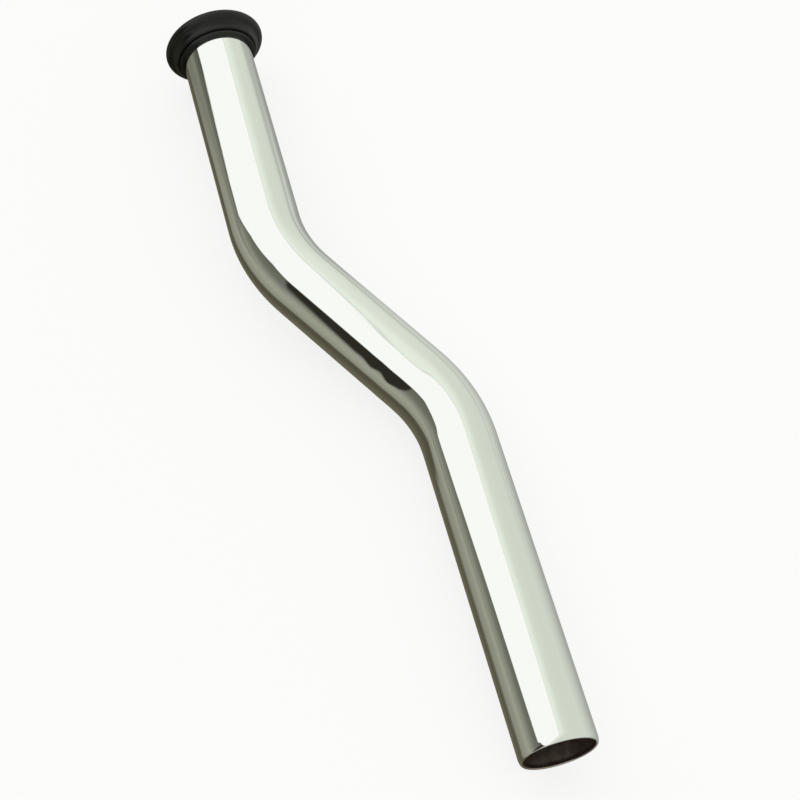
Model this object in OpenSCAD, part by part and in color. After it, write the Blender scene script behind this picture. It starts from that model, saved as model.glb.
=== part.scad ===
// Flush pipe for a urinal: a bent chrome-plated tube with a rubber seal pushed onto its upper end.
// It lies on its side on the ground plane, with the lower leg along +X and the seal's rim touching
// the ground. Water runs towards +X. Sizes are in millimetres.

/* [Tube] */
// Outside diameter of the tube
tube_d = 32; // [28:0.5:36]
// Wall thickness of the tube
tube_wall = 1; // [0.8:0.1:1.6]

/* [Route] */
// Straight length from the upper cut end to the first bend
upper_straight = 110; // [70:1:200]
// Straight length between the two bends
middle_straight = 66; // [50:1:120]
// Length from the second bend to the lower end
lower_straight = 137; // [60:1:250]
// Radius of both bends, measured at the middle of the tube
bend_radius = 61; // [48:1:90]
// Angle that each bend turns, first one way and then back
bend_angle = 33; // [30:1:50]

/* [Turned-in lower lip] */
// Length of the lower end that curves inwards
lip_length = 2.6; // [1.8:0.1:4]
// Radius of the curve on the outside of the lip
lip_radius = 6; // [5:0.5:12]

/* [Rubber seal] */
// Length of tube that stands out past the seal's flat face
seal_setback = 3; // [1:0.5:6]
// Height of the seal along the tube
seal_height = 10.6; // [9:0.1:14]
// Outside diameter of the seal's rim
rim_d = 46; // [44:0.5:52]
// Thickness of the round rim
rim_thickness = 5; // [4:0.1:6]
// Wall of the collar that stands down the tube
collar_wall = 1.8; // [1.2:0.1:2.2]
// Length of the collar below the crease
collar_length = 2; // [1:0.1:3]
// Radius of the small ridge beside the crease
ridge_radius = 0.9; // [0.7:0.1:1]
// How far the middle of the ridge lies outside the collar
ridge_offset = 0.5; // [0.3:0.1:0.6]
// Radius of the hollow flare between the ridge and the rim
flare_radius = 3; // [2.5:0.1:4]
// Radius of the collar's soft outer edge
edge_radius = 0.4; // [0.2:0.1:0.6]
// Clearance between the tube and the seal's bore
seal_clearance = 0.05; // [0.02:0.01:0.1]

/* [Hidden] */
$fn = 96;
// Overlap that lets a cut run clear past a face
past = 1;
// Degrees that one straight piece of a rounded outline spans
arc_step = 9;
// How much the radius draws in through a bend
draw_in = 0.02;
// How far the straights run on into a bend
run_in = 0.5;

tube_r = tube_d / 2;
bore_r = tube_r - tube_wall;
rim_r = rim_d / 2;

// The route in its own plane: the upper leg along +X from the origin, and the offset towards +Y
bend_run = bend_radius * sin(bend_angle);
bend_rise = bend_radius * (1 - cos(bend_angle));
route_run = upper_straight + 2 * bend_run + middle_straight * cos(bend_angle) + lower_straight;
route_rise = 2 * bend_rise + middle_straight * sin(bend_angle);

first_bend_at = [upper_straight, 0, 0];
middle_at = first_bend_at + [bend_run, bend_rise, 0];
lower_at = [route_run - lower_straight, route_rise, 0];

// The rim is wider than the tube, so the pipe lies rolled by this angle about its own length
rest_roll = asin((rim_r - tube_r) / route_rise);
// How far apart the two legs are, seen from above
legs_apart = route_rise * cos(rest_roll);
// The origin is on the ground, under the middle of the outer box
upper_axis = [-route_run / 2, -(legs_apart + tube_r - rim_r) / 2, rim_r];

// The lip's tip is rounded, and the middle of its wall turns in by this angle
tip_radius = tube_wall / 2;
lip_middle_radius = lip_radius - tip_radius;
lip_angle = asin((lip_length - tip_radius) / lip_middle_radius);

seal_bore_r = tube_r + seal_clearance;
collar_r = seal_bore_r + collar_wall;
rim_round = rim_thickness / 2;
// Centres of the seal's rounds, as [distance from the axis, height above the collar's end]
rim_centre = [rim_r - rim_round, seal_height - rim_round];
ridge_drop = sqrt(ridge_radius * ridge_radius - ridge_offset * ridge_offset);
ridge_centre = [collar_r + ridge_offset, collar_length + ridge_drop];
ridge_start = 180 + atan2(ridge_drop, ridge_offset);
// The flare's centre is where its arc is tangent to both the ridge and the rim
ridge_to_rim = rim_centre - ridge_centre;
reach_ridge = ridge_radius + flare_radius;
reach_rim = rim_round + flare_radius;
rim_bearing = atan2(ridge_to_rim[1], ridge_to_rim[0]);
flare_bearing = rim_bearing - acos((ridge_to_rim * ridge_to_rim + reach_ridge * reach_ridge
    - reach_rim * reach_rim) / (2 * norm(ridge_to_rim) * reach_ridge));
flare_centre = ridge_centre + reach_ridge * [cos(flare_bearing), sin(flare_bearing)];
flare_to_rim = rim_centre - flare_centre;
rim_start = atan2(flare_to_rim[1], flare_to_rim[0]);

// Points along an arc about a centre, from one angle to another
function arc(centre, radius, from, to) =
    let (steps = max(2, ceil(abs(to - from) / arc_step)))
    [for (i = [0 : steps])
        let (a = from + (to - from) * i / steps)
        centre + radius * [cos(a), sin(a)]];

// One run of points from arcs that meet end to end, with each shared point kept once
function joined(arcs) =
    [for (i = [0 : len(arcs) - 1])
        for (j = [(i == 0 ? 0 : 1) : len(arcs[i]) - 1])
            arcs[i][j]];

// Section of the lower lip, as [distance from the axis, distance along the tube]
module lip_section() {
    centre = [tube_r - lip_radius, 0];
    tip_centre = centre + lip_middle_radius * [cos(lip_angle), sin(lip_angle)];
    polygon(joined([
        arc(centre, lip_radius, 0, lip_angle),
        arc(tip_centre, tip_radius, lip_angle, lip_angle + 180),
        arc(centre, lip_radius - tube_wall, lip_angle, 0)
    ]));
}

// Half section of the rubber seal, with the collar's end at the bottom and the flat face on top
module seal_section() {
    polygon(concat(
        [[seal_bore_r, 0]],
        arc([collar_r - edge_radius, edge_radius], edge_radius, -90, 0),
        joined([
            arc(ridge_centre, ridge_radius, ridge_start, 360 + flare_bearing),
            arc(flare_centre, flare_radius, 180 + flare_bearing, rim_start),
            arc(rim_centre, rim_round, rim_start - 180, 90)
        ]),
        [[seal_bore_r, seal_height]]
    ));
}

// A straight stretch along +X, which may start before the origin and end beyond its length
module straight(radius, length, before = 0, after = 0) {
    translate([-before, 0, 0])
        rotate([0, 90, 0])
            cylinder(r = radius, h = before + length + after);
}

// A bend that leaves the origin along +X and turns towards +Y, a hair slimmer than the straights
module bend(radius) {
    translate([0, bend_radius, 0])
        rotate([0, 0, -90])
            rotate_extrude(angle = bend_angle)
                translate([bend_radius, 0]) circle(r = radius - draw_in);
}

// A round bar along the whole route as far as the lip, which may run past both ends
module route(radius, beyond = 0) {
    straight(radius, upper_straight, before = beyond, after = run_in);
    translate(first_bend_at) bend(radius);
    translate(middle_at)
        rotate([0, 0, bend_angle])
            straight(radius, middle_straight, before = run_in, after = run_in);
    translate(lower_at) {
        rotate([0, 0, 180]) bend(radius);
        straight(radius, lower_straight - lip_length, before = run_in, after = beyond);
    }
}

module lower_lip() {
    translate(lower_at + [lower_straight - lip_length, 0, 0])
        rotate([0, 90, 0])
            rotate_extrude() lip_section();
}

// Turns and moves what is drawn along the route to where the pipe lies
module at_rest() {
    translate(upper_axis) rotate([-rest_roll, 0, 0]) children();
}

module flush_tube() {
    color([0.83, 0.84, 0.82])
        at_rest() {
            difference() {
                route(tube_r);
                route(bore_r, beyond = past);
            }
            lower_lip();
        }
}

module flange_seal() {
    color([0.09, 0.09, 0.08])
        at_rest()
            translate([seal_setback + seal_height, 0, 0])
                rotate([0, -90, 0])
                    rotate_extrude() seal_section();
}

flush_tube();
flange_seal();
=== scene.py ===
"""Looks for a urinal's flush pipe: a bent chrome tube with a rubber seal, lying on a pale floor.

Lengths are in metres, in the frame's own axes: +X along both legs, +Y from the upper leg to the
lower leg, +Z up. "Across" is the direction from the upper leg to the lower leg in the tube's plane.
"""

import math

import bpy
import bmesh
from mathutils import Euler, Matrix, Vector
from mathutils.kdtree import KDTree


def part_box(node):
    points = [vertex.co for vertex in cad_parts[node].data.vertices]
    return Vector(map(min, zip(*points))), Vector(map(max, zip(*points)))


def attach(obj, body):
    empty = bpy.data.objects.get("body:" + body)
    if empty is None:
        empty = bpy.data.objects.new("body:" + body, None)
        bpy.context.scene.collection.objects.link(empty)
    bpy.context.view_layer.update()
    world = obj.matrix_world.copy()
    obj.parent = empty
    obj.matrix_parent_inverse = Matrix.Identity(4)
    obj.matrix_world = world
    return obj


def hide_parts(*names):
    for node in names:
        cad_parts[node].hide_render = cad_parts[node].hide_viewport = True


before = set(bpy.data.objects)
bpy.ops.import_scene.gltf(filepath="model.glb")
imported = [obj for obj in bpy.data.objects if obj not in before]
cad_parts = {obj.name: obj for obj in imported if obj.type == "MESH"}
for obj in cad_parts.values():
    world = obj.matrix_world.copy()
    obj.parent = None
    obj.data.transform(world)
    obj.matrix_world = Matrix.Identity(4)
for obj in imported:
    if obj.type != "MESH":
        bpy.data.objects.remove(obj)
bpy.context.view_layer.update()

# The tube
TUBE_RADIUS = 0.016
TUBE_WALL = 0.001
BEND_RADIUS = 0.061
BEND_ANGLE = math.radians(33)
UPPER_STRAIGHT = 0.110
MIDDLE_STRAIGHT = 0.066
LOWER_STRAIGHT = 0.137
LIP_LENGTH = 0.0026
LIP_RADIUS = 0.006

# The rubber seal, measured from the end of its collar up towards its flat face
SEAL_SETBACK = 0.003
SEAL_HEIGHT = 0.0106
SEAL_CLEARANCE = 0.00005
RIM_RADIUS = 0.023
RIM_THICKNESS = 0.005
COLLAR_WALL = 0.0018
COLLAR_LENGTH = 0.002
COLLAR_EDGE = 0.0004
RIDGE_RADIUS = 0.0009
RIDGE_OFFSET = 0.0005
FLARE_RADIUS = 0.003

# The seal sits a little askew on the tube
SEAL_LEAN = math.radians(3.5)

# Ripples where the tube was pressed in on the inner side of the second bend
RIPPLE_HEIGHT = 0.00004
RIPPLE_LENGTH = 0.011
RIPPLE_BEFORE_BEND = 0.008
RIPPLE_REACH = 0.012

# How finely the meshes are cut
ROUND_STEPS = 144
LIP_STEPS = 10
TIP_STEPS = 12
FINE_STEP = 0.001
COARSE_STEP = 0.004
# Faces that meet at more than this are shaded with a corner between them
CORNER_ANGLE = math.radians(40)

# The camera
CAMERA_PLACE = (0.37246, -0.11811, 0.65970)
CAMERA_TURN = (30.07, -3.09, 74.96)
CAMERA_LENS = 79.82
SENSOR_WIDTH = 36.0

# Looks
CHROME_COLOUR = (0.72, 0.729, 0.71)
CHROME_ROUGHNESS = 0.03
WAVE_HEIGHT = 0.00003
BORE_COLOUR = (0.36, 0.28, 0.25)
RUBBER_DARK = (0.0025, 0.0025, 0.0022)
RUBBER_PALE = (0.007, 0.0065, 0.0055)
FLOOR_COLOUR = (0.90, 0.90, 0.90)
FLOOR_GLOW = 0.8
FLOOR_HALF = 6.0

# The card on the floor, which only glossy surfaces see; it glows with painted shade and a painted
# shadow. Distances are from the tube's middle line.
# A list of pairs is a line through (where, how much), held level beyond both ends.
CARD_HEIGHT = 0.0004
CARD_CELL = 0.004
CARD_FINE_HALF = 0.3
CARD_COARSE_MARKS = [0.5, 0.8, 1.5, 3.0, FLOOR_HALF]
CARD_LINE_STEP = 0.05
# Towards -Y: an olive table, darker towards -X, with painted shade near the tube and the tube's brown
# shadow painted on it
TABLE_COLOUR = (1.0, 1.02, 0.82)
TABLE_BY_X = [(-0.22, 0.27), (-0.14, 0.43)]
TABLE_PAINTED_SHADE = [(0.045, 0.78), (0.13, 1.0)]
SHADOW_COLOUR = (1.0, 0.93, 0.62)
SHADOW_TONE = [(0.02, 0.165), (0.035, 0.11)]
SHADOW_EDGE = [(-0.10, 0.042), (-0.05, 0.054), (0.01, 0.054), (0.055, 0.04)]
SHADOW_SOFTNESS = 0.006
# Towards +Y: a pale surface with painted shade that darkens it near the tube
PALE_COLOUR = (1.0, 1.045, 0.955)
PALE_PAINTED_SHADE = [(0.02, 0.38), (0.05, 0.54), (0.08, 0.67), (0.3, 0.79)]
# How pale it is along the tube, close to the tube and away from it
PALE_CLOSE = [(-0.10, 0.78), (-0.05, 1.13), (0.01, 1.13), (0.06, 0.98)]
PALE_AWAY = [(-0.24, 0.8), (-0.17, 1.15), (0.05, 1.0)]
PALE_MIXING = [(0.05, 0.0), (0.12, 1.0)]

# The studio, by direction from the pipe. Azimuth and elevation are in degrees, and height is the
# upward part of a direction of length 1.
LIGHT_COLOUR = (1.29, 1.305, 1.272)
# The elevation where the light starts, by azimuth
LIGHT_NEAR_EDGE = [(-180, 12), (-132, 17), (-126, 5), (-114, 24), (-95, 38), (-60, 39), (0, 27)]
# Where the light ends towards the wall, as (x, y) of the direction
LIGHT_FAR_EDGE = [(-0.7, 0.37), (-0.6, 0.28), (-0.47, 0.25), (-0.35, 0.14), (-0.25, 0.01), (0.0, -0.15),
                  (0.5, -0.6)]
EDGE_SOFTNESS = 0.012
WALL_COLOUR = (0.794, 0.846, 0.75)
# How the wall glows towards the light, by how far the direction is past the light's far edge
WALL_GLOW = [(-0.57, 1.07), (-0.3, 1.12), (-0.1, 1.32), (-0.03, 1.36)]
WALL_FALL = [(0.0, 0.92), (0.2, 1.0)]
ROOM_COLOUR = (0.806, 0.83, 0.677)
ROOM_FALL = [(0.0, 0.52), (0.3, 0.27), (0.6, 0.2)]
ROOM_SIDE = [(-140, 0.3), (-126, 0.52), (-116, 0.9), (-75, 1.02)]
# Something nearly black stands in the room, with a leaning edge
DARK_COLOUR = (0.032, 0.031, 0.022)
DARK_EDGE = [(-71.7, 0.0), (-69.3, 1.0), (-58, 1.0), (-52, 0.0)]
DARK_LEAN = 16.0

# Where the tube's plane lies
bend_run = BEND_RADIUS * math.sin(BEND_ANGLE)
bend_rise = BEND_RADIUS * (1 - math.cos(BEND_ANGLE))
route_run = (UPPER_STRAIGHT + 2 * bend_run + MIDDLE_STRAIGHT * math.cos(BEND_ANGLE)
             + LOWER_STRAIGHT)
route_rise = 2 * bend_rise + MIDDLE_STRAIGHT * math.sin(BEND_ANGLE)
rest_roll = math.asin((RIM_RADIUS - TUBE_RADIUS) / route_rise)
tube_low, tube_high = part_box("flush_tube")
seal_low, seal_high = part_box("flange_seal")
UPPER_END = Vector((tube_low.x, (seal_low.y + seal_high.y) / 2, RIM_RADIUS))
ALONG = Vector((1, 0, 0))
ACROSS = Vector((0, math.cos(rest_roll), -math.sin(rest_roll)))
OUT_OF_PLANE = ALONG.cross(ACROSS)


def place(run, rise, out=0.0):
    """A point given in the tube's own plane, in the frame's axes."""
    return UPPER_END + run * ALONG + rise * ACROSS + out * OUT_OF_PLANE


class Station:
    """A place on the tube's middle line, with the angle that the line has turned there."""

    def __init__(self, run, rise, turn, along):
        self.run = run
        self.rise = rise
        self.turn = turn
        # The length of middle line from the upper end to here
        self.along = along


def straight_stations(start, turn, length, step):
    """Stations along a straight stretch, without the first one."""
    steps = max(2, math.ceil(length / step))
    return [Station(start.run + length * i / steps * math.cos(turn),
                    start.rise + length * i / steps * math.sin(turn), turn,
                    start.along + length * i / steps)
            for i in range(1, steps + 1)]


def bend_stations(start, side, step):
    """Stations through a bend that turns to one side (1 or -1), without the first one."""
    centre_run = start.run - side * BEND_RADIUS * math.sin(start.turn)
    centre_rise = start.rise + side * BEND_RADIUS * math.cos(start.turn)
    steps = math.ceil(BEND_RADIUS * BEND_ANGLE / step)
    stations = []
    for i in range(1, steps + 1):
        turn = start.turn + side * BEND_ANGLE * i / steps
        stations.append(Station(centre_run + side * BEND_RADIUS * math.sin(turn),
                                centre_rise - side * BEND_RADIUS * math.cos(turn), turn,
                                start.along + BEND_RADIUS * BEND_ANGLE * i / steps))
    return stations


def middle_line():
    """Stations from the upper end to where the lip begins."""
    line = [Station(0.0, 0.0, 0.0, 0.0)]
    line += straight_stations(line[-1], 0.0, UPPER_STRAIGHT, COARSE_STEP)
    line += bend_stations(line[-1], 1, FINE_STEP)
    line += straight_stations(line[-1], BEND_ANGLE, MIDDLE_STRAIGHT, FINE_STEP)
    line += bend_stations(line[-1], -1, FINE_STEP)
    line += straight_stations(line[-1], 0.0, LOWER_STRAIGHT - LIP_LENGTH, COARSE_STEP)
    return line


def interpolate(value, stops):
    """The height of a line through (at, height) stops, held level beyond both ends."""
    for (a, low), (b, high) in zip(stops, stops[1:]):
        if value <= a:
            return low
        if value <= b:
            return low + (high - low) * (value - a) / (b - a)
    return stops[-1][1]


def arc(centre, radius, start, end, steps):
    """Points along an arc in a section, with the angles in radians."""
    return [(centre[0] + radius * math.cos(start + (end - start) * i / steps),
             centre[1] + radius * math.sin(start + (end - start) * i / steps))
            for i in range(steps + 1)]


def mesh_from_rings(name, rings):
    """A smooth closed mesh through rings of points, with the last ring joined to the first."""
    mesh = bpy.data.meshes.new(name)
    count = len(rings[0])
    points = [p for ring in rings for p in ring]
    faces = []
    for i in range(len(rings)):
        a = i * count
        b = (i + 1) % len(rings) * count
        for j in range(count):
            k = (j + 1) % count
            faces.append((a + j, a + k, b + k, b + j))
    mesh.from_pydata(points, [], faces)
    mesh.validate()
    work = bmesh.new()
    work.from_mesh(mesh)
    bmesh.ops.recalc_face_normals(work, faces=work.faces)
    work.to_mesh(mesh)
    work.free()
    mesh.shade_smooth()
    mesh.set_sharp_from_angle(angle=CORNER_ANGLE)
    piece = bpy.data.objects.new(name, mesh)
    bpy.context.scene.collection.objects.link(piece)
    return piece


def ripple(station, angle):
    """How far the tube's skin stands out in the ripples beside the second bend."""
    bend_start = UPPER_STRAIGHT + BEND_RADIUS * BEND_ANGLE + MIDDLE_STRAIGHT
    from_middle = station.along - (bend_start - RIPPLE_BEFORE_BEND)
    fade = math.exp(-(from_middle / RIPPLE_REACH) ** 2) * max(0.0, -math.cos(angle)) ** 2
    return RIPPLE_HEIGHT * fade * math.cos(2 * math.pi * from_middle / RIPPLE_LENGTH)


def tube_ring(station, radius, lean=0.0, rippled=False):
    """A ring of points round the middle line at a station, which may lean along the tube."""
    across = Vector((-math.sin(station.turn), math.cos(station.turn)))
    points = []
    for j in range(ROUND_STEPS):
        angle = 2 * math.pi * j / ROUND_STEPS
        out = radius + (ripple(station, angle) if rippled else 0.0)
        reach = out * math.cos(angle)
        points.append(place(station.run + reach * across.x - reach * math.tan(lean),
                            station.rise + reach * across.y, out * math.sin(angle)))
    return points


def build_tube():
    """The tube as one closed skin: down the outside, round the lip and back up the bore.

    The bore's faces take the second material.
    """
    line = middle_line()
    rings = [tube_ring(s, TUBE_RADIUS, rippled=True) for s in line]
    tip = TUBE_WALL / 2
    lip_middle = LIP_RADIUS - tip
    lip_angle = math.asin((LIP_LENGTH - tip) / lip_middle)
    centre = (TUBE_RADIUS - LIP_RADIUS, 0.0)
    tip_centre = (centre[0] + lip_middle * math.cos(lip_angle), lip_middle * math.sin(lip_angle))
    section = arc(centre, LIP_RADIUS, 0, lip_angle, LIP_STEPS)[1:]
    section += arc(tip_centre, tip, lip_angle, lip_angle + math.pi, TIP_STEPS)[1:]
    section += arc(centre, LIP_RADIUS - TUBE_WALL, lip_angle, 0, LIP_STEPS)[1:-1]
    last = line[-1]
    for radius, beyond in section:
        rings.append(tube_ring(Station(last.run + beyond, last.rise, 0.0, last.along), radius))
    bore_start = len(line) + LIP_STEPS + TIP_STEPS // 2
    rings += [tube_ring(s, TUBE_RADIUS - TUBE_WALL) for s in reversed(line)]
    piece = mesh_from_rings("chrome_tube", rings)
    for i, face in enumerate(piece.data.polygons):
        face.material_index = 1 if bore_start <= i // ROUND_STEPS < len(rings) - 1 else 0
    return piece


def seal_section():
    """The seal's half section, as [distance from the axis, height above the collar's end]."""
    bore = TUBE_RADIUS + SEAL_CLEARANCE
    collar = bore + COLLAR_WALL
    rim_round = RIM_THICKNESS / 2
    rim = Vector((RIM_RADIUS - rim_round, SEAL_HEIGHT - rim_round))
    drop = math.sqrt(RIDGE_RADIUS ** 2 - RIDGE_OFFSET ** 2)
    ridge = Vector((collar + RIDGE_OFFSET, COLLAR_LENGTH + drop))
    ridge_start = math.pi + math.atan2(drop, RIDGE_OFFSET)
    gap = rim - ridge
    reach_ridge = RIDGE_RADIUS + FLARE_RADIUS
    reach_rim = rim_round + FLARE_RADIUS
    flare_bearing = math.atan2(gap.y, gap.x) - math.acos(
        (gap.length_squared + reach_ridge ** 2 - reach_rim ** 2) / (2 * gap.length * reach_ridge))
    flare = ridge + reach_ridge * Vector((math.cos(flare_bearing), math.sin(flare_bearing)))
    to_rim = rim - flare
    rim_start = math.atan2(to_rim.y, to_rim.x)
    section = [(bore, 0.0)]
    section += arc((collar - COLLAR_EDGE, COLLAR_EDGE), COLLAR_EDGE, -math.pi / 2, 0, 6)
    section += arc(ridge, RIDGE_RADIUS, ridge_start, 2 * math.pi + flare_bearing, 16)
    section += arc(flare, FLARE_RADIUS, math.pi + flare_bearing, rim_start, 12)[1:]
    section += arc(rim, rim_round, rim_start - math.pi, math.pi / 2, 24)[1:]
    section += [(bore, SEAL_HEIGHT)]
    return section


def build_seal():
    """The rubber seal, turned about the upper leg's axis."""
    collar_end = SEAL_SETBACK + SEAL_HEIGHT
    rings = []
    for radius, height in seal_section():
        rings.append(tube_ring(Station(collar_end - height, 0.0, 0.0, 0.0), radius, SEAL_LEAN))
    return mesh_from_rings("rubber_seal", rings)


tube = build_tube()
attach(tube, "root")
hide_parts("flush_tube")

seal = build_seal()
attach(seal, "root")
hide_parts("flange_seal")


class Nodes:
    """Adds shader nodes to a tree, one short call each."""

    def __init__(self, tree):
        self.tree = tree
        tree.nodes.clear()

    def add(self, kind, **settings):
        node = self.tree.nodes.new(kind)
        for name, value in settings.items():
            setattr(node, name, value)
        return node

    def link(self, output, socket):
        if isinstance(output, (int, float, tuple)):
            socket.default_value = output
        else:
            self.tree.links.new(output, socket)

    def maths(self, operation, a, b=0.0, clamp=False):
        node = self.add("ShaderNodeMath", operation=operation, use_clamp=clamp)
        self.link(a, node.inputs[0])
        self.link(b, node.inputs[1])
        return node.outputs[0]

    def ramp(self, value, stops, low, high):
        """A colour ramp over values from low to high; each stop is (value, grey or colour)."""
        scaled = self.add("ShaderNodeMapRange")
        self.link(value, scaled.inputs["Value"])
        scaled.inputs["From Min"].default_value = low
        scaled.inputs["From Max"].default_value = high
        node = self.add("ShaderNodeValToRGB")
        elements = node.color_ramp.elements
        elements.remove(elements[1])
        for i, (at, colour) in enumerate(stops):
            position = (at - low) / (high - low)
            element = elements[0] if i == 0 else elements.new(position)
            element.position = position
            if isinstance(colour, (int, float)):
                colour = (colour, colour, colour)
            element.color = (*colour, 1)
        self.link(scaled.outputs[0], node.inputs[0])
        return node.outputs[0]

    def mix(self, factor, a, b, blend="MIX"):
        node = self.add("ShaderNodeMix", data_type="RGBA", blend_type=blend)
        self.link(factor, node.inputs[0])
        for value, socket in ((a, node.inputs[6]), (b, node.inputs[7])):
            self.link((*value, 1) if isinstance(value, tuple) and len(value) == 3 else value, socket)
        return node.outputs[2]


def chrome_material():
    """Bright chrome plate with a faint waviness and dull smears."""
    material = bpy.data.materials.new("chrome_plate")
    material.use_nodes = True
    nodes = Nodes(material.node_tree)
    output = nodes.add("ShaderNodeOutputMaterial")
    surface = nodes.add("ShaderNodeBsdfPrincipled")
    surface.inputs["Base Color"].default_value = (*CHROME_COLOUR, 1)
    surface.inputs["Metallic"].default_value = 1.0
    nodes.link(surface.outputs[0], output.inputs["Surface"])
    position = nodes.add("ShaderNodeTexCoord").outputs["Object"]
    smears = nodes.add("ShaderNodeTexNoise")
    nodes.link(position, smears.inputs["Vector"])
    smears.inputs["Scale"].default_value = 60.0
    smears.inputs["Detail"].default_value = 5.0
    roughness = nodes.add("ShaderNodeMapRange")
    nodes.link(smears.outputs["Fac"], roughness.inputs["Value"])
    roughness.inputs["From Min"].default_value = 0.35
    roughness.inputs["From Max"].default_value = 0.75
    roughness.inputs["To Min"].default_value = CHROME_ROUGHNESS
    roughness.inputs["To Max"].default_value = CHROME_ROUGHNESS * 2.2
    nodes.link(roughness.outputs[0], surface.inputs["Roughness"])
    waves = nodes.add("ShaderNodeTexNoise")
    nodes.link(position, waves.inputs["Vector"])
    waves.inputs["Scale"].default_value = 45.0
    waves.inputs["Detail"].default_value = 1.0
    bump = nodes.add("ShaderNodeBump")
    bump.inputs["Distance"].default_value = WAVE_HEIGHT
    nodes.link(waves.outputs["Fac"], bump.inputs["Height"])
    nodes.link(bump.outputs[0], surface.inputs["Normal"])
    return material


def rubber_material():
    """Black moulded rubber: matt, finely grained, with a dusty bloom in places."""
    material = bpy.data.materials.new("black_rubber")
    material.use_nodes = True
    nodes = Nodes(material.node_tree)
    output = nodes.add("ShaderNodeOutputMaterial")
    surface = nodes.add("ShaderNodeBsdfPrincipled")
    nodes.link(surface.outputs[0], output.inputs["Surface"])
    position = nodes.add("ShaderNodeTexCoord").outputs["Object"]
    bloom = nodes.add("ShaderNodeTexNoise")
    nodes.link(position, bloom.inputs["Vector"])
    bloom.inputs["Scale"].default_value = 220.0
    bloom.inputs["Detail"].default_value = 6.0
    colour = nodes.ramp(bloom.outputs["Fac"], [(0.3, RUBBER_DARK), (0.75, RUBBER_PALE)], 0.0, 1.0)
    nodes.link(colour, surface.inputs["Base Color"])
    surface.inputs["Roughness"].default_value = 0.28
    surface.inputs["Specular IOR Level"].default_value = 0.30
    grain = nodes.add("ShaderNodeTexNoise")
    nodes.link(position, grain.inputs["Vector"])
    grain.inputs["Scale"].default_value = 1800.0
    grain.inputs["Detail"].default_value = 3.0
    bump = nodes.add("ShaderNodeBump")
    bump.inputs["Distance"].default_value = 0.00004
    nodes.link(grain.outputs["Fac"], bump.inputs["Height"])
    nodes.link(bump.outputs[0], surface.inputs["Normal"])
    return material


def bore_material():
    """The unpolished bore: dull metal whose gloss varies a little."""
    material = bpy.data.materials.new("bore")
    material.use_nodes = True
    nodes = Nodes(material.node_tree)
    output = nodes.add("ShaderNodeOutputMaterial")
    surface = nodes.add("ShaderNodeBsdfPrincipled")
    nodes.link(surface.outputs[0], output.inputs["Surface"])
    surface.inputs["Base Color"].default_value = (*BORE_COLOUR, 1)
    surface.inputs["Metallic"].default_value = 1.0
    position = nodes.add("ShaderNodeTexCoord").outputs["Object"]
    dullness = nodes.add("ShaderNodeTexNoise")
    nodes.link(position, dullness.inputs["Vector"])
    dullness.inputs["Scale"].default_value = 300.0
    dullness.inputs["Detail"].default_value = 4.0
    roughness = nodes.add("ShaderNodeMapRange")
    nodes.link(dullness.outputs["Fac"], roughness.inputs["Value"])
    roughness.inputs["From Min"].default_value = 0.3
    roughness.inputs["From Max"].default_value = 0.7
    roughness.inputs["To Min"].default_value = 0.32
    roughness.inputs["To Max"].default_value = 0.46
    nodes.link(roughness.outputs[0], surface.inputs["Roughness"])
    return material


def studio_world():
    """The studio round the pipe: a broad white light, a pale wall to +Y and a dim room to -Y."""
    world = bpy.data.worlds.new("studio")
    bpy.context.scene.world = world
    world.use_nodes = True
    nodes = Nodes(world.node_tree)
    output = nodes.add("ShaderNodeOutputWorld")
    background = nodes.add("ShaderNodeBackground")
    nodes.link(background.outputs[0], output.inputs["Surface"])
    direction = nodes.add("ShaderNodeTexCoord").outputs["Generated"]
    parts = nodes.add("ShaderNodeSeparateXYZ")
    nodes.link(direction, parts.inputs[0])
    x, y, height = parts.outputs
    azimuth = nodes.maths("DEGREES", nodes.maths("ARCTAN2", y, x))
    near_edge = nodes.ramp(azimuth, [(a, math.sin(math.radians(e))) for a, e in LIGHT_NEAR_EDGE],
                           -180, 180)
    over_near = nodes.maths("SUBTRACT", height, near_edge)
    # A ramp holds no negative colours, so the far edge is kept 1 higher in it
    raised_edge = nodes.ramp(x, [(at, edge + 1) for at, edge in LIGHT_FAR_EDGE], -1, 1)
    over_far = nodes.maths("SUBTRACT", nodes.maths("SUBTRACT", raised_edge, 1.0), y)
    # The pale wall glows towards the light and darkens near the floor
    wall_glow = nodes.ramp(over_far, WALL_GLOW, -0.7, 0.1)
    wall = nodes.mix(1.0, wall_glow, nodes.ramp(height, WALL_FALL, 0, 1), "MULTIPLY")
    wall = nodes.mix(1.0, wall, WALL_COLOUR, "MULTIPLY")
    room_side = nodes.ramp(azimuth, ROOM_SIDE, -180, 180)
    room = nodes.mix(1.0, nodes.ramp(height, ROOM_FALL, 0, 1), room_side, "MULTIPLY")
    room = nodes.mix(1.0, room, ROOM_COLOUR, "MULTIPLY")
    leaning = nodes.maths("ADD", azimuth, nodes.maths("MULTIPLY", height, DARK_LEAN))
    room = nodes.mix(nodes.ramp(leaning, DARK_EDGE, -90, -40), room, DARK_COLOUR)
    to_wall = nodes.ramp(over_far, [(-0.02, 1.0), (0.02, 0.0)], -0.1, 0.1)
    surroundings = nodes.mix(to_wall, room, wall)
    soft_edge = [(-EDGE_SOFTNESS, 0.0), (EDGE_SOFTNESS, 1.0)]
    inside = nodes.maths("MULTIPLY", nodes.ramp(over_near, soft_edge, -0.2, 0.2),
                         nodes.ramp(over_far, soft_edge, -0.2, 0.2))
    sky = nodes.mix(inside, surroundings, LIGHT_COLOUR)
    nodes.link(sky, background.inputs["Color"])
    background.inputs["Strength"].default_value = 1.0


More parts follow.
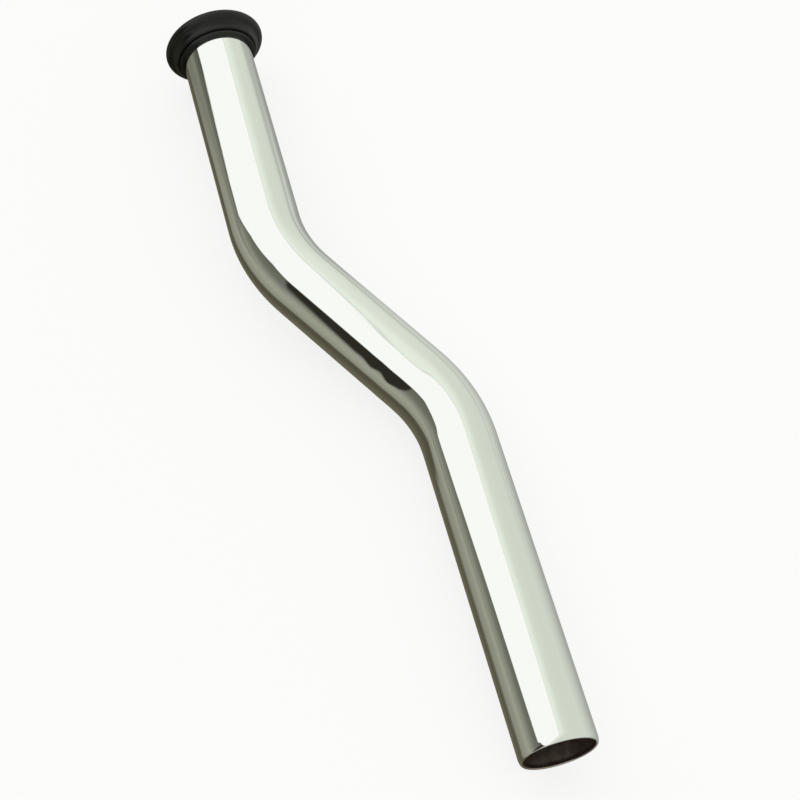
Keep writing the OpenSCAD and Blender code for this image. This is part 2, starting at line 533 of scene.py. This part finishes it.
def floor_material():
    """A matt white floor. The camera and glossy surfaces see it partly as plain white."""
    material = bpy.data.materials.new("floor")
    material.use_nodes = True
    nodes = Nodes(material.node_tree)
    output = nodes.add("ShaderNodeOutputMaterial")
    matt = nodes.add("ShaderNodeBsdfDiffuse")
    matt.inputs["Color"].default_value = (*FLOOR_COLOUR, 1)
    white = nodes.add("ShaderNodeEmission")
    white.inputs["Color"].default_value = (1, 1, 1, 1)
    white.inputs["Strength"].default_value = 1.0
    rays = nodes.add("ShaderNodeLightPath")
    seen = nodes.maths("MAXIMUM", rays.outputs["Is Camera Ray"], rays.outputs["Is Glossy Ray"])
    seen = nodes.maths("MAXIMUM", seen, rays.outputs["Is Transmission Ray"])
    both = nodes.add("ShaderNodeMixShader")
    nodes.link(nodes.maths("MULTIPLY", seen, FLOOR_GLOW), both.inputs[0])
    nodes.link(matt.outputs[0], both.inputs[1])
    nodes.link(white.outputs[0], both.inputs[2])
    nodes.link(both.outputs[0], output.inputs["Surface"])
    material.cycles.emission_sampling = "NONE"
    return material


def stage_piece(name, points, faces, material):
    """A piece of the stage, made of faces."""
    mesh = bpy.data.meshes.new(name)
    mesh.from_pydata(points, [], faces)
    piece = bpy.data.objects.new(name, mesh)
    piece.data.materials.append(material)
    bpy.context.scene.collection.objects.link(piece)
    return piece


def card_tone(x, distance, towards_pale, near_x):
    """The card's colour at a distance from the tube's middle line, on one side of it, with painted
    shade and a painted shadow near the tube.
    """
    if towards_pale:
        close = interpolate(near_x, PALE_CLOSE)
        away = interpolate(x, PALE_AWAY)
        along = close + (away - close) * interpolate(distance, PALE_MIXING)
        # Painted shade: the pale side darkens near the tube
        return Vector(PALE_COLOUR) * interpolate(distance, PALE_PAINTED_SHADE) * along
    # Painted shade near the tube on the table, and the tube's painted shadow
    table = Vector(TABLE_COLOUR) * interpolate(x, TABLE_BY_X) * interpolate(distance, TABLE_PAINTED_SHADE)
    shadow = Vector(SHADOW_COLOUR) * interpolate(distance, SHADOW_TONE)
    edge = interpolate(near_x, SHADOW_EDGE)
    share = interpolate(distance, [(edge - SHADOW_SOFTNESS, 0.0), (edge + SHADOW_SOFTNESS, 1.0)])
    return shadow.lerp(table, share)


def reflected_card():
    """A glowing card on the floor that glossy surfaces see in place of the white floor; its tones are
    painted shade and a painted shadow.
    """
    line = [place(s.run, s.rise) for s in middle_line()]
    step = Vector((CARD_LINE_STEP, 0, 0))
    for i in range(round(FLOOR_HALF / CARD_LINE_STEP)):
        line.insert(0, line[0] - step)
        line.append(line[-1] + step)
    tree = KDTree(len(line))
    for i, point in enumerate(line):
        tree.insert((point.x, point.y, 0), i)
    tree.balance()
    cells = round(2 * CARD_FINE_HALF / CARD_CELL)
    marks = [-mark for mark in reversed(CARD_COARSE_MARKS)]
    marks += [-CARD_FINE_HALF + CARD_CELL * i for i in range(cells + 1)]
    marks += CARD_COARSE_MARKS
    points, tones = [], []
    for x in marks:
        for y in marks:
            near, i, distance = tree.find((x, y, 0))
            ahead = line[min(i + 1, len(line) - 1)] - line[max(i - 1, 0)]
            towards_pale = ahead.x * (y - near.y) - ahead.y * (x - near.x) > 0
            points.append((x, y, CARD_HEIGHT))
            tones.append(card_tone(x, distance, towards_pale, near.x))
    count = len(marks)
    faces = [(i * count + j, (i + 1) * count + j, (i + 1) * count + j + 1, i * count + j + 1)
             for i in range(count - 1) for j in range(count - 1)]
    material = bpy.data.materials.new("reflected_card")
    material.use_nodes = True
    nodes = Nodes(material.node_tree)
    output = nodes.add("ShaderNodeOutputMaterial")
    # The card glows with its tones, which hold painted shade and a painted shadow
    glow = nodes.add("ShaderNodeEmission")
    tone = nodes.add("ShaderNodeAttribute", attribute_name="tone")
    nodes.link(tone.outputs["Color"], glow.inputs["Color"])
    nodes.link(glow.outputs[0], output.inputs["Surface"])
    material.cycles.emission_sampling = "NONE"
    card = stage_piece("reflected_card", points, faces, material)
    colours = card.data.color_attributes.new("tone", "FLOAT_COLOR", "POINT")
    for entry, tone in zip(colours.data, tones):
        entry.color = (*tone, 1)
    card.visible_camera = False
    card.visible_diffuse = False
    card.visible_shadow = False


tube.data.materials.append(chrome_material())
tube.data.materials.append(bore_material())
seal.data.materials.append(rubber_material())
studio_world()
stage_piece("floor", [(-FLOOR_HALF, -FLOOR_HALF, 0), (FLOOR_HALF, -FLOOR_HALF, 0),
                      (FLOOR_HALF, FLOOR_HALF, 0), (-FLOOR_HALF, FLOOR_HALF, 0)], [(0, 1, 2, 3)],
            floor_material())
reflected_card()
bpy.context.scene.view_settings.view_transform = "Standard"


def aim_camera():
    """The camera that looks down at the pipe as the photograph does."""
    data = bpy.data.cameras.new("camera")
    data.sensor_width = SENSOR_WIDTH
    data.lens = CAMERA_LENS
    camera = bpy.data.objects.new("camera", data)
    camera.location = CAMERA_PLACE
    camera.rotation_euler = Euler([math.radians(a) for a in CAMERA_TURN])
    bpy.context.scene.collection.objects.link(camera)
    bpy.context.scene.camera = camera


aim_camera()
